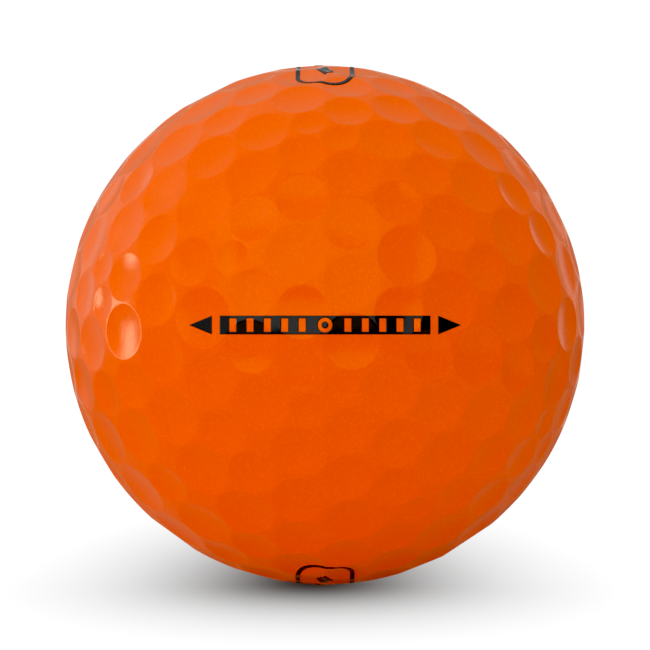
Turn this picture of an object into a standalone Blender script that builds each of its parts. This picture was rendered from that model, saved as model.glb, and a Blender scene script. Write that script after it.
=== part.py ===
"""A two-piece golf ball: a solid rubber core, a dimpled cover moulded in two halves, and its printed marks.

Frame: metres, origin at the ball's centre, +Z up. The front alignment mark faces -Y and the two nameplates
are printed round +Z and -Z. The cover mould's poles are on +X and -X, so the parting line is near X = 0.
Run it with: blender --background --python part.py
"""

import itertools
import math

import bmesh
import bpy
from mathutils import Matrix, Vector

MM = 0.001

# Driving dimensions of the ball.
BALL_DIAMETER = 42.7 * MM  # over the lands between the dimples
CORE_DIAMETER = 39.5 * MM
BOND_GAP = 0.06 * MM  # between core and cover, where the real faces are bonded
PARTING_GAP = 0.02 * MM  # between the two cover halves, where the real faces are fused
INK_GAP = 0.02 * MM  # between the cover and a print
INK_THICKNESS = 0.03 * MM
BALL_RADIUS = BALL_DIAMETER / 2
CORE_RADIUS = CORE_DIAMETER / 2
CORE_SUBDIVISIONS = 4

# The dimples lie on an octahedron. One of its faces looks along +X, and it is turned about X by this angle.
OCTAHEDRON_TURN = math.radians(14.75)
EDGE_ANGLE = math.radians(14)  # between a dimple's wall and the ball's surface at the rim
DIMPLE_DIAMETERS = {
    "large": 4.72 * MM,
    "wide": 4.36 * MM,
    "medium": 4.10 * MM,
    "small": 3.84 * MM,
    "tiny": 2.78 * MM,
}
# Each family is placed by percentages of an octahedron face's three vertex axes, in every order and with
# every sign: 6 on the vertices, 8 on the faces, 24 for each family with two equal or one zero, 48 for the rest.
DIMPLE_FAMILIES = (
    ((100, 0, 0), "small"),
    ((100, 100, 100), "tiny"),
    ((100, 21, 0), "large"),
    ((100, 87, 0), "tiny"),
    ((100, 23.5, 23.5), "large"),
    ((100, 61.5, 61.5), "large"),
    ((100, 100, 20.5), "small"),
    ((100, 100, 69.5), "small"),
    ((100, 66.5, 13.5), "wide"),
    ((100, 41, 10), "small"),
    ((100, 79, 39.5), "medium"),
    ((100, 49.5, 32), "wide"),
)
RIM_POINTS = {"large": 11, "wide": 10, "medium": 10, "small": 9, "tiny": 7}

# The alignment mark on the front and the back: a ruler bar with a round eye, between two arrowheads.
# These are flat sizes, as seen square on.
MARK_HALF_HEIGHT = 0.70 * MM
BAR_HALF_LENGTH = 7.9 * MM
ARROW_BASE = 8.5 * MM
ARROW_TIP = 10.25 * MM
TICKS_PER_SIDE = 5
TICK_START = 1.7 * MM  # centre of the tick nearest the eye
TICK_PITCH = 1.3 * MM
TICK_HALF_WIDTH = 0.26 * MM
TICK_HALF_HEIGHT = 0.50 * MM
EYE_RADIUS = 0.55 * MM
DOT_RADIUS = 0.26 * MM

# The nameplate on the top and the bottom: an oval ring along Y round a play number and two diamonds.
RING_HALF_LENGTH = 9.5 * MM
RING_HALF_WIDTH = 2.35 * MM
RING_LINE = 0.34 * MM
NUMBER_HEIGHT = 3.4 * MM
PLAY_NUMBER = "3"
DIAMOND_CENTRE = 5.8 * MM
DIAMOND_HALF_LENGTH = 1.6 * MM
DIAMOND_HALF_WIDTH = 0.7 * MM

PRINT_DEPTH = 6 * MM  # length of the straight prism that an outline is cut from
ROUND_STEPS = 8  # straight pieces in each half circle of an outline


def new_collection(name):
    collection = bpy.data.collections.new(name)
    bpy.context.scene.collection.children.link(collection)
    return collection


def new_material(name, colour, roughness):
    material = bpy.data.materials.new(name)
    material.use_nodes = True
    shader = material.node_tree.nodes["Principled BSDF"]
    shader.inputs["Base Color"].default_value = (*colour, 1)
    shader.inputs["Roughness"].default_value = roughness
    shader.inputs["Metallic"].default_value = 0
    return material


def add_object(name, mesh, collection, material=None):
    obj = bpy.data.objects.new(name, mesh)
    collection.objects.link(obj)
    if material:
        mesh.materials.clear()
        mesh.materials.append(material)
    return obj


def as_cutter(obj):
    obj.hide_render = True
    obj.display_type = "WIRE"
    return obj


def add_boolean(obj, operation, other):
    modifier = obj.modifiers.new(operation.lower(), "BOOLEAN")
    modifier.operation = operation
    modifier.solver = "EXACT"
    modifier.object = other
    return modifier


# ---------------------------------------------------------------- dimple layout


def octahedron_axes():
    """The three vertex axes round the face that looks along +X."""
    tilt = math.acos(1 / math.sqrt(3))
    axes = []
    for third in range(3):
        turn = OCTAHEDRON_TURN + third * math.tau / 3
        axes.append(
            Vector((math.cos(tilt), -math.sin(tilt) * math.cos(turn), math.sin(tilt) * math.sin(turn)))
        )
    return axes


def dimple_layout():
    """(direction of the centre, size name) of every dimple."""
    axes = octahedron_axes()
    layout = []
    for weights, size in DIMPLE_FAMILIES:
        places = set()
        for order in itertools.permutations(weights):
            for signs in itertools.product((1, -1), repeat=3):
                places.add(tuple(w * s + 0.0 for w, s in zip(order, signs)))
        for place in sorted(places):
            centre = sum((w * axis for w, axis in zip(place, axes)), Vector())
            layout.append((centre.normalized(), size))
    return layout


def ring_points(centre, angle, count):
    """Directions on a circle round a dimple's centre."""
    across = centre.orthogonal().normalized()
    along = centre.cross(across)
    points = []
    for step in range(count):
        turn = math.tau * step / count
        sideways = across * math.cos(turn) + along * math.sin(turn)
        points.append(centre * math.cos(angle) + sideways * math.sin(angle))
    return points


def dimpled_skin():
    """The whole outer surface as a bmesh. Its vertices' layer "dimple" is a place in the dimple layout."""
    skin = bmesh.new()
    dimple = skin.verts.layers.int.new("dimple")
    layout = dimple_layout()
    for number, (centre, size) in enumerate(layout):
        angle = math.asin(DIMPLE_DIAMETERS[size] / 2 / BALL_RADIUS)
        for direction in ring_points(centre, angle, RIM_POINTS[size]):
            skin.verts.new(direction * BALL_RADIUS)[dimple] = number
    # Points on a sphere are all corners of their convex hull, so it joins every rim into one closed skin.
    bmesh.ops.convex_hull(skin, input=skin.verts)
    lids = {}
    for face in skin.faces:
        face.smooth = True
        numbers = {vertex[dimple] for vertex in face.verts}
        if len(numbers) == 1:
            lids.setdefault(numbers.pop(), []).append(face)
    for number, faces in lids.items():
        centre, size = layout[number]
        depth = math.tan(EDGE_ANGLE) * DIMPLE_DIAMETERS[size] / 4
        lid = bmesh.ops.dissolve_faces(skin, faces=faces)["region"]
        for edge in lid[0].edges:
            edge.smooth = False
        middle = bmesh.ops.poke(skin, faces=lid)["verts"][0]
        middle.co = centre * (BALL_RADIUS - depth)
        middle[dimple] = number
    bmesh.ops.recalc_face_normals(skin, faces=skin.faces)
    return skin


# ---------------------------------------------------------------- core and cover


def add_core_sphere(name, radius, collection, material=None):
    bpy.ops.mesh.primitive_ico_sphere_add(subdivisions=CORE_SUBDIVISIONS, radius=radius)
    obj = bpy.context.object
    obj.name = name
    for owner in list(obj.users_collection):
        owner.objects.unlink(obj)
    collection.objects.link(obj)
    if material:
        obj.data.materials.append(material)
        obj.data.shade_smooth()
    return obj


def add_cover_half(name, right_half, core_cutter, collection, material):
    """One half of the cover. Its parting wall follows the rims of the left half's dimples, so it cuts none."""
    half = dimpled_skin()
    dimple = half.verts.layers.int["dimple"]
    in_right_half = [centre.x > 0 for centre, _ in dimple_layout()]
    others = [
        face
        for face in half.faces
        if any(in_right_half[vertex[dimple]] for vertex in face.verts) != right_half
    ]
    bmesh.ops.delete(half, geom=others, context="FACES")
    parting_edges = [edge for edge in half.edges if edge.is_boundary]
    centre = half.verts.new((0, 0, 0))
    for edge in parting_edges:
        half.faces.new((*edge.verts, centre))
    bmesh.ops.recalc_face_normals(half, faces=half.faces)
    shift = PARTING_GAP / 2 * (1 if right_half else -1)
    bmesh.ops.translate(half, vec=(shift, 0, 0), verts=half.verts)
    mesh = bpy.data.meshes.new(name)
    half.to_mesh(mesh)
    half.free()
    obj = add_object(name, mesh, collection, material)
    add_boolean(obj, "DIFFERENCE", core_cutter)
    return obj


def add_lifted_skin(name, lift, collection):
    """The whole ball's skin grown outwards, as a cutter that bounds the ink."""
    skin = dimpled_skin()
    bmesh.ops.scale(skin, vec=Vector((1, 1, 1)) * (1 + lift / BALL_RADIUS), verts=skin.verts)
    mesh = bpy.data.meshes.new(name)
    skin.to_mesh(mesh)
    skin.free()
    return as_cutter(add_object(name, mesh, collection))


# ---------------------------------------------------------------- outlines of the prints


def half_circle(centre_x, centre_y, radius, start):
    """Points of a half circle, counter-clockwise from the angle start."""
    return [
        (
            centre_x + radius * math.cos(start + math.pi * step / ROUND_STEPS),
            centre_y + radius * math.sin(start + math.pi * step / ROUND_STEPS),
        )
        for step in range(ROUND_STEPS + 1)
    ]


def circle(radius):
    return half_circle(0, 0, radius, 0)[:-1] + half_circle(0, 0, radius, math.pi)[:-1]


def rectangle(centre_x, centre_y, half_width, half_height):
    corners = ((-1, -1), (1, -1), (1, 1), (-1, 1))
    return [(centre_x + x * half_width, centre_y + y * half_height) for x, y in corners]


def stadium(half_length, half_width):
    """A long oval along Y with round ends."""
    straight = half_length - half_width
    return half_circle(0, straight, half_width, 0) + half_circle(0, -straight, half_width, math.pi)


def arrow_outline(side):
    return [
        (side * ARROW_BASE, -MARK_HALF_HEIGHT),
        (side * ARROW_TIP, 0),
        (side * ARROW_BASE, MARK_HALF_HEIGHT),
    ]


def diamond_outline(side):
    middle = side * DIAMOND_CENTRE
    return [
        (0, middle - DIAMOND_HALF_LENGTH),
        (DIAMOND_HALF_WIDTH, middle),
        (0, middle + DIAMOND_HALF_LENGTH),
        (-DIAMOND_HALF_WIDTH, middle),
    ]


def bar_outlines():
    """The bar, with a round eye and a row of ticks on each side of it left out of the ink."""
    outlines = [rectangle(0, 0, BAR_HALF_LENGTH, MARK_HALF_HEIGHT), circle(EYE_RADIUS)]
    for side in (-1, 1):
        for tick in range(TICKS_PER_SIDE):
            middle = side * (TICK_START + tick * TICK_PITCH)
            outlines.append(rectangle(middle, 0, TICK_HALF_WIDTH, TICK_HALF_HEIGHT))
    return outlines


def ring_outlines():
    return [
        stadium(RING_HALF_LENGTH, RING_HALF_WIDTH),
        stadium(RING_HALF_LENGTH - RING_LINE, RING_HALF_WIDTH - RING_LINE),
    ]


def flat_curve(name, outlines):
    """A filled 2D curve of closed outlines, extruded to a prism. An outline inside another is a hole."""
    curve = bpy.data.curves.new(name, "CURVE")
    curve.dimensions = "2D"
    curve.fill_mode = "BOTH"
    curve.extrude = PRINT_DEPTH / 2
    for outline in outlines:
        spline = curve.splines.new("POLY")
        spline.points.add(len(outline) - 1)
        for point, (x, y) in zip(spline.points, outline):
            point.co = (x, y, 0, 1)
        spline.use_cyclic_u = True
    return curve


def numeral_curve(name):
    """The play number, centred on its own middle."""
    text = bpy.data.curves.new(name, "FONT")
    text.body = PLAY_NUMBER
    text.align_x = "CENTER"
    text.align_y = "CENTER"
    text.size = NUMBER_HEIGHT / 0.7  # a numeral is about 0.7 of its font's size high
    text.resolution_u = 3
    text.extrude = PRINT_DEPTH / 2
    return text


# ---------------------------------------------------------------- prints


def print_place(facing):
    """The matrix that stands an outline drawn in X and Y on the side of the ball that faces that way."""
    turns = {
        "front": Matrix.Rotation(math.radians(90), 4, "X"),
        "rear": Matrix.Rotation(math.radians(180), 4, "Z") @ Matrix.Rotation(math.radians(90), 4, "X"),
        "top": Matrix.Identity(4),
        "bottom": Matrix.Rotation(math.radians(180), 4, "X"),
    }
    return turns[facing] @ Matrix.Translation((0, 0, BALL_RADIUS))


def add_print(name, curve, facing, ink_top, ink_bottom, collection, material):
    """A film of ink: the outline's prism between two grown copies of the ball's skin."""
    drawn = bpy.data.objects.new(name + "_outline", curve)
    bpy.context.scene.collection.objects.link(drawn)
    bpy.context.view_layer.update()
    evaluated = drawn.evaluated_get(bpy.context.evaluated_depsgraph_get())
    mesh = bpy.data.meshes.new_from_object(evaluated)
    bpy.data.objects.remove(drawn)
    prism = bmesh.new()
    prism.from_mesh(mesh)
    bmesh.ops.remove_doubles(prism, verts=prism.verts, dist=0.001 * MM)
    bmesh.ops.recalc_face_normals(prism, faces=prism.faces)
    bmesh.ops.transform(prism, matrix=print_place(facing), verts=prism.verts)
    prism.to_mesh(mesh)
    prism.free()
    mesh.name = name
    obj = add_object(name, mesh, collection, material)
    for operation, skin in (("INTERSECT", ink_top), ("DIFFERENCE", ink_bottom)):
        # The film is so thin that without this it can come out open.
        add_boolean(obj, operation, skin).use_self = True
    return obj


def add_alignment_mark(facing, *common):
    add_print(f"{facing}_alignment_bar", flat_curve("bar", bar_outlines()), facing, *common)
    add_print(f"{facing}_alignment_dot", flat_curve("dot", [circle(DOT_RADIUS)]), facing, *common)
    for label, side in (("left", -1), ("right", 1)):
        name = f"{facing}_arrow_{label}"
        add_print(name, flat_curve(name, [arrow_outline(side)]), facing, *common)


def add_nameplate(facing, *common):
    add_print(f"{facing}_emblem_ring", flat_curve("ring", ring_outlines()), facing, *common)
    add_print(f"{facing}_play_number", numeral_curve("number"), facing, *common)
    for label, side in (("a", -1), ("b", 1)):
        name = f"{facing}_diamond_{label}"
        add_print(name, flat_curve(name, [diamond_outline(side)]), facing, *common)


def main():
    for obj in list(bpy.data.objects):
        bpy.data.objects.remove(obj)
    ball = new_collection("golf_ball")
    cutters = new_collection("cutters")
    rubber = new_material("core_rubber", (0.05, 0.24, 0.42), 0.65)
    ionomer = new_material("cover_ionomer", (0.90, 0.13, 0.005), 0.12)
    ink = new_material("black_ink", (0.012, 0.012, 0.014), 0.25)

    add_core_sphere("core", CORE_RADIUS, ball, rubber)
    core_cutter = as_cutter(add_core_sphere("core_cutter", CORE_RADIUS + BOND_GAP, cutters))
    add_cover_half("cover_left", False, core_cutter, ball, ionomer)
    add_cover_half("cover_right", True, core_cutter, ball, ionomer)

    ink_bottom = add_lifted_skin("ink_bottom_cutter", INK_GAP, cutters)
    ink_top = add_lifted_skin("ink_top_cutter", INK_GAP + INK_THICKNESS, cutters)
    for facing in ("front", "rear"):
        add_alignment_mark(facing, ink_top, ink_bottom, ball, ink)
    for facing in ("top", "bottom"):
        add_nameplate(facing, ink_top, ink_bottom, ball, ink)


main()
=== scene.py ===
# %% [markdown]
# # A two-piece golf ball
#
# This lesson builds the looks of an orange golf ball round its CAD model. The ball is a rubber core inside a
# moulded cover, with thin black prints on the cover. The cover is the main piece: 350 round dimples in five sizes,
# laid out on an octahedron. One rule places all of them, so the cover is grown with Geometry Nodes.
#
# The CAD solids are loaded first. They are a fixed frame: every piece here takes its place from them.

# %% Load the CAD frame
import itertools
import math

import bmesh
import bpy
from mathutils import Matrix, Vector
from mathutils.bvhtree import BVHTree
from mathutils.geometry import delaunay_2d_cdt
from mathutils.kdtree import KDTree


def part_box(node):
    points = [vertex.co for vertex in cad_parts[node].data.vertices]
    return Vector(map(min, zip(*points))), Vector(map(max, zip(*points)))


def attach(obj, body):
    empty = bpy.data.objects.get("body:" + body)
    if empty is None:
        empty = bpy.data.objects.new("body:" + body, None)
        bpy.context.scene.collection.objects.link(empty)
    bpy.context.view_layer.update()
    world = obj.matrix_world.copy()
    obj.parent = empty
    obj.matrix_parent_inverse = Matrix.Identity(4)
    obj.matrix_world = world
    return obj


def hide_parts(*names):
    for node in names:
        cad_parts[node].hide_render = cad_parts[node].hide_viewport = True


MM = 0.001
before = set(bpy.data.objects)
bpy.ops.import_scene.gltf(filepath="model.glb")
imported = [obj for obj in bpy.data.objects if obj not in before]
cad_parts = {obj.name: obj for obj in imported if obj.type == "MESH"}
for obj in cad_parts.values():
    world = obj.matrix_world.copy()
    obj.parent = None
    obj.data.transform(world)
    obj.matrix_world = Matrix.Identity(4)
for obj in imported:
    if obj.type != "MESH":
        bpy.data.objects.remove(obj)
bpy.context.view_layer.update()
core_low, core_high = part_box("core")
mark_low, mark_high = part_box("front_alignment_bar")
print("CAD nodes:", ", ".join(sorted(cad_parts)))

# %% [markdown]
# ## Sizes
#
# The rules of the game set the ball's diameter. The dimple sizes and the layout's angle are the same numbers
# as in the CAD model, so the fine cover lies on the coarse one.

# %% Sizes of the ball and its dimples
BALL_RADIUS = 21.35 * MM
CORE_RADIUS = (core_high.x - core_low.x) / 2
BOND_GAP = 0.06 * MM  # the cover's inner wall stays this far off the core
DIMPLE_DIAMETERS = {
    "large": 4.72 * MM,
    "wide": 4.36 * MM,
    "medium": 4.10 * MM,
    "small": 3.84 * MM,
    "tiny": 2.78 * MM,
}
EDGE_ANGLE = math.radians(14)
OCTAHEDRON_TURN = math.radians(14.75)
DIMPLE_FAMILIES = (
    ((100, 0, 0), "small"),
    ((100, 100, 100), "tiny"),
    ((100, 21, 0), "large"),
    ((100, 87, 0), "tiny"),
    ((100, 23.5, 23.5), "large"),
    ((100, 61.5, 61.5), "large"),
    ((100, 100, 20.5), "small"),
    ((100, 100, 69.5), "small"),
    ((100, 66.5, 13.5), "wide"),
    ((100, 41, 10), "small"),
    ((100, 79, 39.5), "medium"),
    ((100, 49.5, 32), "wide"),
)
print(f"ball {2 * BALL_RADIUS / MM:.1f} mm, core {2 * CORE_RADIUS / MM:.1f} mm")

# %% [markdown]
# ## Node helpers
#
# Node trees are easier to read in code when a node and its links take one line. `add_node` takes a value or
# another node's output for each input. `calc` and `calc_vector` are the two math nodes.


# %% Helpers that add nodes
def add_node(tree, kind, inputs=None, **settings):
    """A new node with its settings, and each input joined to an output or set to a value."""
    made = tree.nodes.new(kind)
    for name, value in settings.items():
        setattr(made, name, value)
    for key, value in (inputs or {}).items():
        if isinstance(value, bpy.types.NodeSocket):
            tree.links.new(value, made.inputs[key])
        else:
            made.inputs[key].default_value = value
    return made


def calc(tree, operation, *values):
    return add_node(tree, "ShaderNodeMath", dict(enumerate(values)), operation=operation).outputs[0]


def calc_vector(tree, operation, *values):
    made = add_node(tree, "ShaderNodeVectorMath", dict(enumerate(values)), operation=operation)
    return made.outputs["Value" if operation in ("LENGTH", "DOT_PRODUCT") else "Vector"]


def named(tree, name, data_type="FLOAT"):
    read = add_node(tree, "GeometryNodeInputNamedAttribute", {"Name": name}, data_type=data_type)
    return read.outputs["Attribute"]


def store(tree, geometry, name, value, data_type="FLOAT"):
    return add_node(
        tree,
        "GeometryNodeStoreNamedAttribute",
        {"Geometry": geometry, "Name": name, "Value": value},
        data_type=data_type,
    ).outputs["Geometry"]


def scaled(tree, vector, factor):
    return add_node(
        tree, "ShaderNodeVectorMath", {0: vector, "Scale": factor}, operation="SCALE"
    ).outputs["Vector"]


# %% [markdown]
# ## The dimple layout
#
# An octahedron has 48 ways to turn and mirror onto itself. Each dimple family is one point given as percentages of
# the three vertex axes, and the 48 ways copy it round the ball. The result is a cloud of 350 points that carry
# two facts: the dimple's radius, and whether the dimple belongs to the right half of the mould.


# %% Points of the dimple layout
def octahedron_axes():
    """The three vertex axes round the face that looks along +X."""
    tilt = math.acos(1 / math.sqrt(3))
    turns = [OCTAHEDRON_TURN + third * math.tau / 3 for third in range(3)]
    return [
        Vector((math.cos(tilt), -math.sin(tilt) * math.cos(turn), math.sin(tilt) * math.sin(turn)))
        for turn in turns
    ]


def dimple_places(weights):
    """Every direction that one family takes."""
    places = set()
    for order in itertools.permutations(weights):
        for signs in itertools.product((1, -1), repeat=3):
            places.add(tuple(w * s + 0.0 for w, s in zip(order, signs)))
    axes = octahedron_axes()
    return [
        sum((w * axis for w, axis in zip(place, axes)), Vector()).normalized()
        for place in sorted(places)
    ]


layout = [
    (direction, DIMPLE_DIAMETERS[size] / 2)
    for weights, size in DIMPLE_FAMILIES
    for direction in dimple_places(weights)
]
layout_mesh = bpy.data.meshes.new("dimple_layout")
layout_mesh.from_pydata([direction * BALL_RADIUS for direction, _ in layout], [], [])
radii = layout_mesh.attributes.new("dimple_radius", "FLOAT", "POINT")
radii.data.foreach_set("value", [radius for _, radius in layout])
halves = layout_mesh.attributes.new("right", "FLOAT", "POINT")
halves.data.foreach_set("value", [float(direction.x > 0) for direction, _ in layout])
print(len(layout), "dimples")

# %% [markdown]
# ## The cover's Geometry Nodes
#
# A dimple is a shallow bowl: a piece of a large sphere with a softly rounded rim. One flat grid is stored with a
# column and a row number on each point. It is instanced on every layout point, and Set Position then bends each
# copy: the column becomes the angle round the dimple, and the row becomes the distance from its centre. Most rows
# share the bowl's floor, and the last ones sit close together on the rim, so the rim stays crisp.
#
# Between the bowls is plain ball surface. It is filled on a flat map of the ball, a stereographic projection,
# because Fill Curve works in a plane and this map keeps circles round. The fill is then sent back onto the ball.


# %% Bowls: one bent grid for each dimple
SEGMENTS = 40  # points round each dimple
FLOOR_ROWS = 5
RIM_ROWS = 5  # the last one is outside the rim's own circle
RIM_STEP = 0.028 * MM  # the narrowest land is just over two steps wide
RIM_SOFTNESS = 0.030 * MM  # how much of the bowl's depth the rounding of the rim takes up
RIM_INSET = 0.030 * MM  # the bowl is this much narrower, so its rounding ends on the last row
MERGE = 0.001 * MM


def dimple_reach(tree, row, radius, detailed):
    """Distance of a grid row from the dimple's axis."""
    if not detailed:  # one row of points just outside the rim
        return calc(tree, "MULTIPLY", row, calc(tree, "ADD", radius, RIM_STEP))
    floor_edge = calc(tree, "SUBTRACT", radius, RIM_STEP * (RIM_ROWS - 1))
    share = calc(tree, "DIVIDE", calc(tree, "MINIMUM", row, FLOOR_ROWS), FLOOR_ROWS)
    rim_rows = calc(tree, "MAXIMUM", calc(tree, "SUBTRACT", row, FLOOR_ROWS), 0.0)
    return calc(
        tree,
        "ADD",
        calc(tree, "MULTIPLY", share, floor_edge),
        calc(tree, "MULTIPLY", rim_rows, RIM_STEP),
    )


def dimple_depth(tree, reach, radius):
    """Depth under the ball's surface: a bowl that meets it at the edge angle, with a rounded rim."""
    deepest = calc(tree, "MULTIPLY", radius, math.tan(EDGE_ANGLE) / 2)
    share = calc(tree, "POWER", calc(tree, "DIVIDE", reach, calc(tree, "SUBTRACT", radius, RIM_INSET)), 2.0)
    bowl = calc(tree, "MULTIPLY", deepest, calc(tree, "SUBTRACT", 1.0, share))
    return calc(tree, "SMOOTH_MAX", bowl, 0.0, RIM_SOFTNESS)


def add_bowls(tree, points, detailed):
    """All the dimples as bent copies of one grid. The plain version has one row and no depth."""
    rows = FLOOR_ROWS + RIM_ROWS if detailed else 1
    grid = add_node(
        tree, "GeometryNodeMeshGrid", {"Vertices X": SEGMENTS + 1, "Vertices Y": rows + 1}
    ).outputs["Mesh"]
    place = tree.nodes.new("GeometryNodeInputPosition").outputs[0]
    corner = add_node(tree, "ShaderNodeSeparateXYZ", {0: place})
    grid = store(tree, grid, "column", calc(tree, "ADD", corner.outputs["X"], 0.5))
    row = calc(tree, "MULTIPLY", calc(tree, "ADD", corner.outputs["Y"], 0.5), float(rows))
    grid = store(tree, grid, "row", calc(tree, "ROUND", row))
    copies = add_node(tree, "GeometryNodeInstanceOnPoints", {"Points": points, "Instance": grid})
    copies = add_node(tree, "GeometryNodeRealizeInstances", {0: copies.outputs[0]}).outputs[0]
    radius = named(tree, "dimple_radius")
    reach = dimple_reach(tree, named(tree, "row"), radius, detailed)
    depth = dimple_depth(tree, reach, radius) if detailed else 0.0
    lean = calc(tree, "ARCSINE", calc(tree, "DIVIDE", reach, BALL_RADIUS))
    angle = calc(tree, "MULTIPLY", named(tree, "column"), math.tau)
    sideways = calc(tree, "SINE", lean)
    local = add_node(
        tree,
        "ShaderNodeCombineXYZ",
        {
            "X": calc(tree, "MULTIPLY", sideways, calc(tree, "COSINE", angle)),
            "Y": calc(tree, "MULTIPLY", sideways, calc(tree, "SINE", angle)),
            "Z": calc(tree, "COSINE", lean),
        },
    ).outputs[0]
    standing = add_node(
        tree, "FunctionNodeRotateVector", {0: local, 1: named(tree, "facing", "QUATERNION")}
    ).outputs[0]
    height = calc(tree, "SUBTRACT", BALL_RADIUS, depth)
    bent = add_node(
        tree, "GeometryNodeSetPosition", {"Geometry": copies, "Position": scaled(tree, standing, height)}
    ).outputs[0]
    return add_node(
        tree, "GeometryNodeMergeByDistance", {"Geometry": bent, "Distance": MERGE}
    ).outputs[0]


# %% [markdown]
# The lands are the surface left between the bowls. The bowls' open edges are turned into curves, laid out on the
# flat map, filled, and sent back. The map is centred on +X, so the dimple round -X becomes its outer border.


# %% Lands: the surface between the bowls
def open_edges(tree):
    count = tree.nodes.new("GeometryNodeInputMeshEdgeNeighbors").outputs["Face Count"]
    return add_node(
        tree, "FunctionNodeCompare", {2: count, 3: 1}, data_type="INT", operation="EQUAL"
    ).outputs[0]


def add_lands(tree, bowls):
    rims = add_node(
        tree, "GeometryNodeMeshToCurve", {"Mesh": bowls, "Selection": open_edges(tree)}
    ).outputs[0]
    place = tree.nodes.new("GeometryNodeInputPosition").outputs[0]
    on_ball = add_node(tree, "ShaderNodeSeparateXYZ", {0: calc_vector(tree, "NORMALIZE", place)})
    below = calc(tree, "ADD", on_ball.outputs["X"], 1.0)
    on_map = add_node(
        tree,
        "ShaderNodeCombineXYZ",
        {
            "X": calc(tree, "DIVIDE", on_ball.outputs["Y"], below),
            "Y": calc(tree, "DIVIDE", on_ball.outputs["Z"], below),
        },
    ).outputs[0]
    flat = add_node(tree, "GeometryNodeSetPosition", {"Geometry": rims, "Position": on_map}).outputs[0]
    filled = add_node(tree, "GeometryNodeFillCurve", {"Curve": flat}, mode="TRIANGLES").outputs[0]
    map_place = add_node(tree, "ShaderNodeSeparateXYZ", {0: place})
    square = calc_vector(tree, "DOT_PRODUCT", place, place)
    back = add_node(
        tree,
        "ShaderNodeCombineXYZ",
        {
            "X": calc(tree, "SUBTRACT", 1.0, square),
            "Y": calc(tree, "MULTIPLY", map_place.outputs["X"], 2.0),
            "Z": calc(tree, "MULTIPLY", map_place.outputs["Y"], 2.0),
        },
    ).outputs[0]
    size = calc(tree, "DIVIDE", BALL_RADIUS, calc(tree, "ADD", square, 1.0))
    return add_node(
        tree, "GeometryNodeSetPosition", {"Geometry": filled, "Position": scaled(tree, back, size)}
    ).outputs[0]


# %% [markdown]
# A half of the cover takes every face that touches a dimple of its side. That staggers the parting line round the
# rims, as a real mould does, and no dimple is cut. The half becomes a solid shell with a plain inner skin: the open
# edge of the inner skin is extruded out to meet the outer one.


# %% The tree of one cover half
ANY_RIGHT = 0.001  # a face averages its points: 0 means that none of them is on the right


def joined(tree, *parts):
    """Several geometries as one, with the points that coincide made one point."""
    join = add_node(tree, "GeometryNodeJoinGeometry")
    for part in parts:
        tree.links.new(part, join.inputs[0])
    return add_node(
        tree, "GeometryNodeMergeByDistance", {"Geometry": join.outputs[0], "Distance": MERGE}
    ).outputs[0]


def half_of(tree, skin, keep_right):
    """The faces of a whole skin that belong to one half of the mould."""
    in_right = add_node(
        tree, "FunctionNodeCompare", {0: named(tree, "right"), 1: ANY_RIGHT}, operation="GREATER_THAN"
    ).outputs[0]
    wanted = add_node(
        tree, "FunctionNodeBooleanMath", {0: in_right, 1: keep_right}, operation="XNOR"
    ).outputs[0]
    return add_node(
        tree, "GeometryNodeSeparateGeometry", {"Geometry": skin, "Selection": wanted}, domain="FACE"
    ).outputs["Selection"]


def cover_tree(material):
    tree = bpy.data.node_groups.new("dimpled_cover", "GeometryNodeTree")
    tree.interface.new_socket("Layout", in_out="INPUT", socket_type="NodeSocketGeometry")
    tree.interface.new_socket("Right Half", in_out="INPUT", socket_type="NodeSocketBool")
    tree.interface.new_socket("Inner Radius", in_out="INPUT", socket_type="NodeSocketFloat")
    tree.interface.new_socket("Cover", in_out="OUTPUT", socket_type="NodeSocketGeometry")
    given = tree.nodes.new("NodeGroupInput").outputs
    place = tree.nodes.new("GeometryNodeInputPosition").outputs[0]
    facing = add_node(
        tree, "FunctionNodeAlignRotationToVector", {"Vector": place}, axis="Z"
    ).outputs[0]
    points = store(tree, given["Layout"], "facing", facing, "QUATERNION")
    plain_bowls = add_bowls(tree, points, False)
    lands = add_lands(tree, plain_bowls)
    outer = half_of(tree, joined(tree, lands, add_bowls(tree, points, True)), given["Right Half"])
    inner = half_of(tree, joined(tree, lands, plain_bowls), given["Right Half"])
    inward = scaled(tree, calc_vector(tree, "NORMALIZE", place), given["Inner Radius"])
    inner = add_node(tree, "GeometryNodeSetPosition", {"Geometry": inner, "Position": inward}).outputs[0]
    walled = add_node(
        tree,
        "GeometryNodeExtrudeMesh",
        {"Mesh": inner, "Selection": open_edges(tree), "Offset Scale": 0.0},
        mode="EDGES",
    )
    outward = scaled(tree, calc_vector(tree, "NORMALIZE", place), BALL_RADIUS)
    raised = add_node(
        tree,
        "GeometryNodeSetPosition",
        {"Geometry": walled.outputs["Mesh"], "Selection": walled.outputs["Top"], "Position": outward},
    ).outputs[0]
    smooth = add_node(
        tree,
        "GeometryNodeSetShadeSmooth",
        {0: raised, "Selection": walled.outputs["Side"], "Shade Smooth": False},
    ).outputs[0]
    closed = joined(tree, smooth, outer)
    realized = add_node(tree, "GeometryNodeRealizeInstances", {0: closed}).outputs[0]
    finished = add_node(tree, "GeometryNodeSetMaterial", {0: realized, "Material": material})
    out = tree.nodes.new("NodeGroupOutput")
    tree.links.new(finished.outputs[0], out.inputs["Cover"])
    return tree


# %% Helpers for pieces
def new_piece(mesh, name, slot_name, *nodes):
    """A mesh as a finished piece that stands for CAD nodes."""
    mesh.name = name
    piece = bpy.data.objects.new(name, mesh)
    bpy.context.scene.collection.objects.link(piece)
    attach(piece, "root")
    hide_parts(*nodes)
    return piece


# %% [markdown]
# ## Material helpers
#
# Each finish on the ball is a Principled shader that reads Object coordinates, so a pattern stays put on its piece.
# The same three steps come back in each: a noise of a given grain size, a roughness that wavers between two values,
# and a shallow bump.


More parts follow.
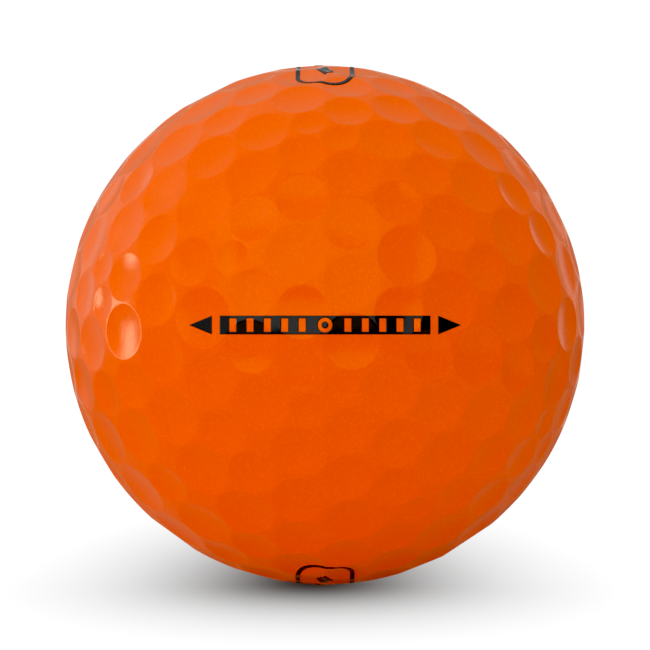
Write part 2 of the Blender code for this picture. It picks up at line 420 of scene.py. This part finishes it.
# %% Helpers for materials
def new_material(name):
    """An empty material, its node tree and its Principled shader."""
    material = bpy.data.materials.new(name)
    material.use_nodes = True
    return material, material.node_tree, material.node_tree.nodes["Principled BSDF"]


def object_place(tree):
    return tree.nodes.new("ShaderNodeTexCoord").outputs["Object"]


def noise(tree, where, size, detail, roughness=0.5):
    """Soft noise whose largest features are about one size across."""
    inputs = {"Vector": where, "Scale": 1 / size, "Detail": detail, "Roughness": roughness}
    return add_node(tree, "ShaderNodeTexNoise", inputs).outputs[0]


def mixed(tree, factor, first, second):
    """One colour over another."""
    mix = add_node(tree, "ShaderNodeMix", {0: factor, 6: first, 7: second}, data_type="RGBA")
    return mix.outputs[2]


def vary_roughness(tree, shader, value, low, high):
    rough = add_node(tree, "ShaderNodeMapRange", {"Value": value, "To Min": low, "To Max": high})
    tree.links.new(rough.outputs[0], shader.inputs["Roughness"])


def add_bump(tree, shader, height, strength, depth):
    bump = add_node(tree, "ShaderNodeBump", {"Height": height, "Strength": strength, "Distance": depth})
    tree.links.new(bump.outputs[0], shader.inputs["Normal"])


# %% [markdown]
# ## The cover's finish
#
# The cover is an orange ionomer full of fine pearl flakes, with a glossy skin. Two sizes of Voronoi cells stand in
# for flakes near the surface and flakes that lie deeper: a flake is a cell whose random number is high. The flakes
# are real, but their lighter, more golden colour than the resin round them is a painted glint that stands in for
# the sparkle of the pearl, and a fine noise bump gives the reflections their grain. The pigment also colours the
# reflection seen square on, which the specular tint says. The reflection at a grazing angle stays white, and an
# orange sheen keeps the edges of the ball warm.


# %% Orange pearl material
ORANGE = (0.95, 0.138, 0.0, 1)
DEEP_ORANGE = (0.915, 0.128, 0.0, 1)
GLINT_GOLD = (1.0, 0.21, 0.0, 1)
FLAKE_CORE, FLAKE_EDGE = 0.3, 0.6  # a flake fades out between these shares of its cell
DEEP_FLAKE_SIZE, DEEP_FLAKE_SHARE, DEEP_FLAKE_GLINT = 0.16 * MM, 0.35, 0.05
NEAR_FLAKE_SIZE, NEAR_FLAKE_SHARE, NEAR_FLAKE_GLINT = 0.15 * MM, 0.30, 0.38
CLOUD_SIZE = 0.55 * MM  # slow drift of the resin's colour
HAZE_SIZE = 2.5 * MM  # slow drift of the gloss
GRAIN_SIZE, GRAIN_DEPTH = 0.14 * MM, 0.010 * MM


def flakes(tree, where, size, share):
    """Near 1 at the heart of the small cells that are flakes, 0 elsewhere."""
    cells = add_node(tree, "ShaderNodeTexVoronoi", {"Vector": where, "Scale": 1 / size}, feature="F1")
    chance = add_node(tree, "ShaderNodeSeparateColor", {0: cells.outputs["Color"]}).outputs[0]
    picked = calc(tree, "GREATER_THAN", chance, 1 - share)
    fade = {"From Min": FLAKE_CORE, "From Max": FLAKE_EDGE, "To Min": 1.0, "To Max": 0.0}
    near = add_node(tree, "ShaderNodeMapRange", {"Value": cells.outputs["Distance"], **fade}).outputs[0]
    return calc(tree, "MULTIPLY", picked, near)


cover_material, tree, shader = new_material("orange_pearl")
where = object_place(tree)
resin = mixed(tree, noise(tree, where, CLOUD_SIZE, 3.0, 0.6), DEEP_ORANGE, ORANGE)
# Painted glints: flakes are mixed towards gold in the base colour, standing in for the pearl's sparkle.
deep_glints = calc(tree, "MULTIPLY", flakes(tree, where, DEEP_FLAKE_SIZE, DEEP_FLAKE_SHARE), DEEP_FLAKE_GLINT)
resin = mixed(tree, deep_glints, resin, GLINT_GOLD)
near = calc(tree, "MULTIPLY", flakes(tree, where, NEAR_FLAKE_SIZE, NEAR_FLAKE_SHARE), NEAR_FLAKE_GLINT)
tree.links.new(mixed(tree, near, resin, GLINT_GOLD), shader.inputs["Base Color"])
vary_roughness(tree, shader, noise(tree, where, HAZE_SIZE, 4.0), 0.03, 0.055)
add_bump(tree, shader, noise(tree, where, GRAIN_SIZE, 2.0), 1.0, GRAIN_DEPTH)
shader.inputs["Specular Tint"].default_value = (1.0, 0.97, 0.45, 1)
shader.inputs["Diffuse Roughness"].default_value = 0.7
shader.inputs["Specular IOR Level"].default_value = 0.42
shader.inputs["Sheen Weight"].default_value = 1.0
shader.inputs["Sheen Roughness"].default_value = 0.30
shader.inputs["Sheen Tint"].default_value = (1.0, 0.22, 0.0, 1)
shader.inputs["IOR"].default_value = 1.5
print("made", cover_material.name)

# %% [markdown]
# ## Growing the halves
#
# The tree is run once for each half, on the cloud of layout points. The result is read back as a plain mesh, so
# nothing stays live. Its faces are turned outwards, and the attributes that only the tree needed are dropped.


# %% The two cover halves
def grow_cover(tree, name, right_half):
    grower = bpy.data.objects.new(name, layout_mesh)
    bpy.context.scene.collection.objects.link(grower)
    modifier = grower.modifiers.new("dimples", "NODES")
    modifier.node_group = tree
    sizes = {"Right Half": right_half, "Inner Radius": CORE_RADIUS + BOND_GAP}
    for item in tree.interface.items_tree:
        if item.name in sizes:
            modifier[item.identifier] = sizes[item.name]
    grown = grower.evaluated_get(bpy.context.evaluated_depsgraph_get())
    mesh = bpy.data.meshes.new_from_object(grown)
    grower.modifiers.remove(modifier)
    bpy.data.objects.remove(grower)
    for attribute in ("right", "dimple_radius", "column", "row", "facing"):
        mesh.attributes.remove(mesh.attributes[attribute])
    turned = bmesh.new()
    turned.from_mesh(mesh)
    bmesh.ops.recalc_face_normals(turned, faces=turned.faces)
    open_count = sum(not edge.is_manifold for edge in turned.edges)
    turned.to_mesh(mesh)
    turned.free()
    print(name, len(mesh.loop_triangles), "triangles,", open_count, "open edges")
    return mesh


cover_nodes = cover_tree(cover_material)
covers = [
    new_piece(grow_cover(cover_nodes, name, right), name, "cover_ionomer", node)
    for name, node, right in (
        ("cover_skin_left", "cover_left", False),
        ("cover_skin_right", "cover_right", True),
    )
]

# %% [markdown]
# ## The prints
#
# Each print is a film of ink a few hundredths of a millimetre thick that runs down into the dimples. Its outline is
# drawn flat, filled with a fine lattice of points, and dropped straight onto the cover: a ray from each point finds
# the surface under it. The film's two sides stand just off that surface, and a wall closes the edge.

# %% Sizes of the prints
MARK_HALF_HEIGHT = (mark_high.z - mark_low.z) / 2
BAR_HALF_LENGTH = (mark_high.x - mark_low.x) / 2
ARROW_BASE = 8.5 * MM
ARROW_TIP = 10.25 * MM
TICKS_PER_SIDE = 5
TICK_START = 1.7 * MM
TICK_PITCH = 1.3 * MM
TICK_HALF_WIDTH = 0.26 * MM
TICK_HALF_HEIGHT = 0.50 * MM
EYE_RADIUS = 0.55 * MM
DOT_RADIUS = 0.26 * MM
RING_HALF_LENGTH = 9.5 * MM
RING_HALF_WIDTH = 2.35 * MM
RING_LINE = 0.34 * MM
NUMBER_HEIGHT = 3.4 * MM
PLAY_NUMBER = "3"
DIGIT_SHARE = 0.7  # a digit's height as a share of the font's size
DIAMOND_CENTRE = 5.8 * MM
DIAMOND_HALF_LENGTH = 1.6 * MM
DIAMOND_HALF_WIDTH = 0.7 * MM
SMALL_ARC_STEPS, LARGE_ARC_STEPS = 16, 40
INK_LOW, INK_HIGH = 0.010 * MM, 0.030 * MM  # the film's two sides, above the cover
print(f"bar {2 * BAR_HALF_LENGTH / MM:.1f} x {2 * MARK_HALF_HEIGHT / MM:.1f} mm")


# %% Outlines of the prints
def half_circle(centre_x, centre_y, radius, start, steps):
    return [
        (
            centre_x + radius * math.cos(start + math.pi * step / steps),
            centre_y + radius * math.sin(start + math.pi * step / steps),
        )
        for step in range(steps + 1)
    ]


def circle(radius):
    upper = half_circle(0, 0, radius, 0, SMALL_ARC_STEPS)
    return upper[:-1] + half_circle(0, 0, radius, math.pi, SMALL_ARC_STEPS)[:-1]


def rectangle(centre_x, centre_y, half_width, half_height):
    corners = ((-1, -1), (1, -1), (1, 1), (-1, 1))
    return [(centre_x + x * half_width, centre_y + y * half_height) for x, y in corners]


def stadium(half_length, half_width):
    """A long oval along Y with round ends."""
    straight = half_length - half_width
    upper = half_circle(0, straight, half_width, 0, LARGE_ARC_STEPS)
    return upper + half_circle(0, -straight, half_width, math.pi, LARGE_ARC_STEPS)


def arrow(side):
    return [
        (side * ARROW_BASE, -MARK_HALF_HEIGHT),
        (side * ARROW_TIP, 0),
        (side * ARROW_BASE, MARK_HALF_HEIGHT),
    ]


def diamond(side):
    middle = side * DIAMOND_CENTRE
    return [
        (0, middle - DIAMOND_HALF_LENGTH),
        (DIAMOND_HALF_WIDTH, middle),
        (0, middle + DIAMOND_HALF_LENGTH),
        (-DIAMOND_HALF_WIDTH, middle),
    ]


def ruler_bar():
    """The bar, with its eye and ticks left out of the ink."""
    outlines = [rectangle(0, 0, BAR_HALF_LENGTH, MARK_HALF_HEIGHT), circle(EYE_RADIUS)]
    for side in (-1, 1):
        for tick in range(TICKS_PER_SIDE):
            middle = side * (TICK_START + tick * TICK_PITCH)
            outlines.append(rectangle(middle, 0, TICK_HALF_WIDTH, TICK_HALF_HEIGHT))
    return outlines


def play_number():
    """The number's outline as closed loops of points, centred on its own middle."""
    text = bpy.data.curves.new("number", "FONT")
    text.body = PLAY_NUMBER
    text.size = NUMBER_HEIGHT / DIGIT_SHARE
    text.resolution_u = 12
    text.fill_mode = "NONE"
    drawn = bpy.data.objects.new("number", text)
    bpy.context.scene.collection.objects.link(drawn)
    evaluated = drawn.evaluated_get(bpy.context.evaluated_depsgraph_get())
    mesh = bpy.data.meshes.new_from_object(evaluated)
    bpy.data.objects.remove(drawn)
    drawing = bmesh.new()
    drawing.from_mesh(mesh)
    bmesh.ops.remove_doubles(drawing, verts=drawing.verts, dist=MERGE)
    xs = [vertex.co.x for vertex in drawing.verts]
    ys = [vertex.co.y for vertex in drawing.verts]
    middle = Vector(((min(xs) + max(xs)) / 2, (min(ys) + max(ys)) / 2))
    loops, seen = [], set()
    for first in drawing.verts:
        loop, vertex = [], first
        while vertex and vertex not in seen:
            seen.add(vertex)
            loop.append(tuple(vertex.co.xy - middle))
            ahead = [edge.other_vert(vertex) for edge in vertex.link_edges]
            vertex = next((other for other in ahead if other not in seen), None)
        if loop:
            loops.append(loop)
    drawing.free()
    return loops


# %% Films of ink
CLEAR_OF_BORDER = 0.6  # lattice points keep this share of the spacing off an outline
SAME_POINT = 1e-9
DRAWING_HEIGHT = 1.1 * BALL_RADIUS  # a print is drawn this far out, then dropped onto the cover


def split_outline(outline, spacing):
    """The outline with points no further apart than the spacing."""
    points = []
    for start, end in zip(outline, outline[1:] + outline[:1]):
        start, end = Vector(start), Vector(end)
        steps = max(1, math.ceil((end - start).length / spacing - 0.01))
        points += [start.lerp(end, step / steps) for step in range(steps)]
    return points


def is_inside(point, outline):
    """Whether a point lies inside an outline: a line to its right then crosses it an odd number of times."""
    inside = False
    for (x1, y1), (x2, y2) in zip(outline, outline[1:] + outline[:1]):
        if (y1 > point.y) != (y2 > point.y) and point.x < (x2 - x1) * (point.y - y1) / (y2 - y1) + x1:
            inside = not inside
    return inside


def filled_lattice(outlines, spacing):
    """Points and triangles that fill the outlines. One inside another is a hole."""
    points, edges = [], []
    for outline in outlines:
        loop = split_outline(outline, spacing)
        first = len(points)
        points += loop
        edges += [(first + i, first + (i + 1) % len(loop)) for i in range(len(loop))]
    border = KDTree(len(points))
    for number, point in enumerate(points):
        border.insert((point.x, point.y, 0), number)
    border.balance()
    reach_x = max(abs(point.x) for point in points)
    reach_y = max(abs(point.y) for point in points)
    for column in range(-int(reach_x / spacing), int(reach_x / spacing) + 1):
        for row in range(-int(reach_y / spacing), int(reach_y / spacing) + 1):
            point = Vector((column * spacing, row * spacing))
            if border.find((point.x, point.y, 0))[2] > spacing * CLEAR_OF_BORDER:
                points.append(point)
    corners, _, triangles, *_ = delaunay_2d_cdt(points, edges, [], 0, SAME_POINT)
    inked = []
    for triangle in triangles:
        middle = sum((corners[i] for i in triangle), Vector((0, 0))) / 3
        if sum(is_inside(middle, outline) for outline in outlines) % 2:
            inked.append(triangle)
    return corners, inked


def film_mesh(name, points, triangles, place):
    """A closed film over the cover: the flat filling dropped along the print's own direction."""
    down = -place.col[2].xyz
    low, high = [], []
    for point in points:
        hit = cover_surface.ray_cast(place @ Vector((point.x, point.y, 0)), down)[0]
        outwards = hit.normalized()
        low.append(hit + outwards * INK_LOW)
        high.append(hit + outwards * INK_HIGH)
    film = bmesh.new()
    low = [film.verts.new(point) for point in low]
    high = [film.verts.new(point) for point in high]
    for triangle in triangles:
        film.faces.new([high[i] for i in triangle]).smooth = True
    for edge in [edge for edge in film.edges if edge.is_boundary]:
        ends = [high.index(vertex) for vertex in edge.verts]
        film.faces.new((high[ends[0]], high[ends[1]], low[ends[1]], low[ends[0]]))
    for triangle in triangles:
        film.faces.new([low[i] for i in reversed(triangle)]).smooth = True
    bmesh.ops.recalc_face_normals(film, faces=film.faces)
    open_count = sum(not edge.is_manifold for edge in film.edges)
    mesh = bpy.data.meshes.new(name)
    film.to_mesh(mesh)
    film.free()
    print(name, 2 * len(triangles), "triangles,", open_count, "open edges")
    return mesh


def facing_place(turn):
    """Where a print is drawn: square on to one side of the ball, just outside it."""
    return turn @ Matrix.Translation((0, 0, DRAWING_HEIGHT))


FACINGS = {
    "front": facing_place(Matrix.Rotation(math.pi / 2, 4, "X")),
    "rear": facing_place(Matrix.Rotation(math.pi, 4, "Z") @ Matrix.Rotation(math.pi / 2, 4, "X")),
    "top": facing_place(Matrix.Identity(4)),
    "bottom": facing_place(Matrix.Rotation(math.pi, 4, "X")),
}

# %% [markdown]
# The ink is a black lacquer, nearly as glossy as the cover. Fine noise breaks up its gloss and lifts its tone a
# little where the film is thin, as pad printing leaves it.

# %% Black ink material
THICK_INK = (0.010, 0.011, 0.011, 1)
THIN_INK = (0.014, 0.016, 0.016, 1)
INK_GRAIN_SIZE = 0.18 * MM
ink_material, tree, shader = new_material("black_ink")
grain = noise(tree, object_place(tree), INK_GRAIN_SIZE, 3.0)
tree.links.new(mixed(tree, grain, THICK_INK, THIN_INK), shader.inputs["Base Color"])
vary_roughness(tree, shader, grain, 0.07, 0.13)
add_bump(tree, shader, grain, 0.3, 0.001 * MM)
shader.inputs["IOR"].default_value = 1.45
print("made", ink_material.name)

# %% The prints
cover_points, cover_faces = [], []
for cover in covers:
    first = len(cover_points)
    cover_points += [vertex.co.copy() for vertex in cover.data.vertices]
    cover_faces += [[first + i for i in face.vertices] for face in cover.data.polygons]
cover_surface = BVHTree.FromPolygons(cover_points, cover_faces)

MARK_LATTICE = 0.08 * MM
PLATE_LATTICE = 0.12 * MM
mark_prints = {
    "alignment_bar": ruler_bar(),
    "alignment_dot": [circle(DOT_RADIUS)],
    "arrow_left": [arrow(-1)],
    "arrow_right": [arrow(1)],
}
plate_prints = {
    "emblem_ring": [
        stadium(RING_HALF_LENGTH, RING_HALF_WIDTH),
        stadium(RING_HALF_LENGTH - RING_LINE, RING_HALF_WIDTH - RING_LINE),
    ],
    "play_number": play_number(),
    "diamond_a": [diamond(-1)],
    "diamond_b": [diamond(1)],
}
for sides, prints, spacing in (
    (("front", "rear"), mark_prints, MARK_LATTICE),
    (("top", "bottom"), plate_prints, PLATE_LATTICE),
):
    for print_name, outlines in prints.items():
        points, triangles = filled_lattice(outlines, spacing)
        for side in sides:
            node = f"{side}_{print_name}"
            mesh = film_mesh(f"{node}_film", points, triangles, FACINGS[side])
            mesh.materials.append(ink_material)
            new_piece(mesh, f"{node}_film", "black_ink", node)

# %% [markdown]
# ## The core
#
# The core is pressed polybutadiene rubber. It is closed in by the cover, so its CAD solid stays and only gets a
# finish: a dull blue rubber with darker specks of filler and a fine pressed grain.

# %% Rubber for the core
DARK_RUBBER = (0.02, 0.12, 0.22, 1)
BLUE_RUBBER = (0.07, 0.30, 0.50, 1)
FILLER_SIZE = 1.6 * MM
rubber_material, tree, shader = new_material("pressed_rubber")
filler = noise(tree, object_place(tree), FILLER_SIZE, 6.0, 0.7)
tree.links.new(mixed(tree, filler, DARK_RUBBER, BLUE_RUBBER), shader.inputs["Base Color"])
vary_roughness(tree, shader, filler, 0.55, 0.75)
add_bump(tree, shader, filler, 0.4, 0.05 * MM)
for material_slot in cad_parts["core"].material_slots:
    material_slot.material = rubber_material
print("core finished with", rubber_material.name)

# %% [markdown]
# ## Floor
#
# The ball stands on a pale round floor. The camera sees a painted soft grey shadow that the floor's material works
# out from the ball's size: darkest at the contact, tight towards the camera and long towards the back, because the
# wide panel stands in front. All other light meets a matt floor with painted shade and bounce light: its colour is
# painted brighter in front and darker behind, and a little warm for the orange light the ball throws onto it. Its
# faint warm glow is painted bounce light between the ball and the floor.

# %% Floor
FLOOR_RADIUS = 5 * BALL_RADIUS
SHADOW_SHIFT = 0.04 * BALL_RADIUS  # the shadow's middle lies this far to the left
SHADOW_ASIDE = BALL_RADIUS / 1.46
SHADOW_AHEAD = BALL_RADIUS / 0.87
SHADOW_BEHIND = BALL_RADIUS / 0.35
SHADOW_FADE = -1.5  # the power of the distance by which the shadow fades
PAINTED_SHADOW_CORE = (0.055, 0.042, 0.038, 1)
OPEN_FLOOR = (1.14, 1.14, 1.14, 1)
FRONT_PAINTED_LIGHT, BACK_PAINTED_SHADE = 0.80, 0.3
PAINTED_BOUNCE_WARMTH = (1.0, 0.87, 0.80)
PAINTED_BOUNCE_GLOW = (0.105, 0.063, 0.05, 1)

floor_mesh = bpy.data.meshes.new("floor")
drawing = bmesh.new()
bmesh.ops.create_circle(drawing, cap_ends=True, radius=FLOOR_RADIUS, segments=128)
bmesh.ops.translate(drawing, vec=(0, 0, -BALL_RADIUS), verts=drawing.verts)
drawing.to_mesh(floor_mesh)
drawing.free()

floor_material, tree, shader = new_material("pale_floor")
tree.nodes.remove(shader)
# Painted shadow: the camera sees the floor as an emission that is darkest under the ball and fades away from it.
spot = add_node(tree, "ShaderNodeSeparateXYZ", {0: object_place(tree)}).outputs
aside = calc(tree, "DIVIDE", calc(tree, "ADD", spot["X"], SHADOW_SHIFT), SHADOW_ASIDE)
ahead = calc(tree, "DIVIDE", calc(tree, "MINIMUM", spot["Y"], 0.0), SHADOW_AHEAD)
behind = calc(tree, "DIVIDE", calc(tree, "MAXIMUM", spot["Y"], 0.0), SHADOW_BEHIND)
squares = [calc(tree, "POWER", calc(tree, "ABSOLUTE", part), 2.0) for part in (aside, ahead, behind)]
spread = calc(tree, "ADD", calc(tree, "ADD", squares[0], squares[1]), calc(tree, "ADD", squares[2], 1.0))
openness = calc(tree, "SUBTRACT", 1.0, calc(tree, "POWER", spread, SHADOW_FADE))
painted_shadow = add_node(tree, "ShaderNodeEmission", {"Color": mixed(tree, openness, PAINTED_SHADOW_CORE, OPEN_FLOOR)})
# Painted shade and bounce light: the matt floor is darker behind, tinted warm for light off the ball, and glows
# faintly.
painted_floor_shades = {"From Min": -BALL_RADIUS, "From Max": BALL_RADIUS, "To Min": FRONT_PAINTED_LIGHT, "To Max": BACK_PAINTED_SHADE}
painted_floor_shade = add_node(tree, "ShaderNodeMapRange", {"Value": spot["Y"], **painted_floor_shades}).outputs[0]
matte = add_node(tree, "ShaderNodeBsdfDiffuse", {"Color": scaled(tree, PAINTED_BOUNCE_WARMTH, painted_floor_shade)})
glow = add_node(tree, "ShaderNodeEmission", {"Color": PAINTED_BOUNCE_GLOW})
lit = add_node(tree, "ShaderNodeAddShader", {0: matte.outputs[0], 1: glow.outputs[0]})
seen_direct = tree.nodes.new("ShaderNodeLightPath").outputs["Is Camera Ray"]
surface = add_node(
    tree, "ShaderNodeMixShader", {0: seen_direct, 1: lit.outputs[0], 2: painted_shadow.outputs[0]}
)
tree.links.new(surface.outputs[0], tree.nodes["Material Output"].inputs["Surface"])

floor = bpy.data.objects.new("floor", floor_mesh)
bpy.context.scene.collection.objects.link(floor)
floor_mesh.materials.append(floor_material)
print(f"floor {2 * FLOOR_RADIUS / MM:.0f} mm across")

# %% [markdown]
# ## Walls and panels
#
# The ball stands in a white studio, whose walls light it from all sides. They are brighter towards the top and the
# left, and dimmer behind the ball and below the horizon, so the reflections keep some shape. A bright backdrop
# stands straight behind the ball. The camera sees the walls as plain white.
#
# A wide soft panel stands in front and above. On the left are a glow, a small bright lamp and a long strip, and two
# narrow strips stand further back and edge the ball.

# %% Studio walls
WALL_LIGHT = 0.57
BRIGHTER_UP, BRIGHTER_LEFT = 0.43, 0.31  # exponents: how fast the light grows that way
DIMMER_BEHIND, DIMMER_BELOW = 0.5, 0.25
BACKDROP_LIGHT = 0.75
BACKDROP_EDGE, BACKDROP_FULL = 0.93, 0.98  # cosines of the angle from straight behind the ball
WALL_SEEN = 1.05

world = bpy.data.worlds.new("studio")
bpy.context.scene.world = world
world.use_nodes = True
tree = world.node_tree
seen_way = tree.nodes.new("ShaderNodeTexCoord").outputs["Generated"]
direction = add_node(tree, "ShaderNodeSeparateXYZ", {0: seen_way}).outputs
upwards = calc(tree, "MULTIPLY", direction["Z"], BRIGHTER_UP)
rightwards = calc(tree, "MULTIPLY", direction["X"], BRIGHTER_LEFT)
growth = calc(tree, "EXPONENT", calc(tree, "SUBTRACT", upwards, rightwards))
light = calc(tree, "MULTIPLY", growth, WALL_LIGHT)
away = calc(tree, "MULTIPLY", calc(tree, "MAXIMUM", direction["Y"], 0.0), DIMMER_BEHIND)
light = calc(tree, "MULTIPLY", light, calc(tree, "SUBTRACT", 1.0, away))
below = calc(tree, "MULTIPLY", calc(tree, "LESS_THAN", direction["Z"], 0.0), DIMMER_BELOW)
light = calc(tree, "MULTIPLY", light, calc(tree, "SUBTRACT", 1.0, below))
edges = {"From Min": BACKDROP_EDGE, "From Max": BACKDROP_FULL, "To Max": BACKDROP_LIGHT}
backdrop = add_node(tree, "ShaderNodeMapRange", {"Value": direction["Y"], **edges}).outputs[0]
light = calc(tree, "ADD", light, backdrop)
seen_direct = tree.nodes.new("ShaderNodeLightPath").outputs["Is Camera Ray"]
wall = add_node(tree, "ShaderNodeMix", {0: seen_direct, 2: light, 3: WALL_SEEN}, data_type="FLOAT").outputs[0]
tree.links.new(wall, tree.nodes["Background"].inputs["Strength"])
tree.nodes["Background"].inputs["Color"].default_value = (1, 1, 1, 1)
print("made", world.name)

# %% Soft panels
PANEL_DISTANCE = 0.6
PANELS = (  # name, azimuth, elevation, half width and half height in degrees, radiance
    ("front_panel", -10, 26, 37, 28, 0.74),
    ("left_glow", -112, 7, 27, 22, 0.20),
    ("left_lamp", -101, 2, 6, 6, 4.0),
    ("left_strip", -72, 38, 33, 9, 0.25),
    ("left_back_strip", -142, 12, 5, 14, 0.25),
    ("right_back_strip", 142, 12, 5, 14, 0.42),
)


def add_panel(name, azimuth, elevation, half_width, half_height, radiance):
    """A lamp panel that faces the ball. Azimuth 0 is towards the camera, and positive to the right."""
    width = 2 * PANEL_DISTANCE * math.tan(math.radians(half_width))
    height = 2 * PANEL_DISTANCE * math.tan(math.radians(half_height))
    light = bpy.data.lights.new(name, "AREA")
    light.shape = "RECTANGLE"
    light.size = width
    light.size_y = height
    light.energy = radiance * math.pi * width * height
    panel = bpy.data.objects.new(name, light)
    bpy.context.scene.collection.objects.link(panel)
    side, up = math.radians(azimuth), math.radians(elevation)
    towards = Vector((math.sin(side) * math.cos(up), -math.cos(side) * math.cos(up), math.sin(up)))
    panel.location = towards * PANEL_DISTANCE
    panel.rotation_euler = towards.to_track_quat("Z", "Y").to_euler()
    panel.visible_camera = False


for panel in PANELS:
    add_panel(*panel)
print(len(PANELS), "panels")

# %% [markdown]
# ## Camera
#
# The camera looks level at the ball's middle from ten radii away, through a long lens. The view's black point is
# raised a little, which deepens the darkest tones and lets the orange lose its last trace of grey.

# %% Camera
LENS, SENSOR_WIDTH = 143, 36  # mm
CAMERA_DISTANCE = 10 * BALL_RADIUS
BLACK_POINT = 0.03
camera_data = bpy.data.cameras.new("camera")
camera_data.lens = LENS
camera_data.sensor_width = SENSOR_WIDTH
camera_data.clip_start = 0.01
camera_data.clip_end = 20
camera = bpy.data.objects.new("camera", camera_data)
camera.location = (0, -CAMERA_DISTANCE, 0)
camera.rotation_euler = (math.pi / 2, 0, 0)
bpy.context.scene.collection.objects.link(camera)
bpy.context.scene.camera = camera
look = bpy.context.scene.view_settings
look.view_transform = "Standard"
look.use_curve_mapping = True
look.curve_mapping.black_level = (BLACK_POINT,) * 3
look.curve_mapping.update()
print(f"camera {CAMERA_DISTANCE / MM:.0f} mm away")
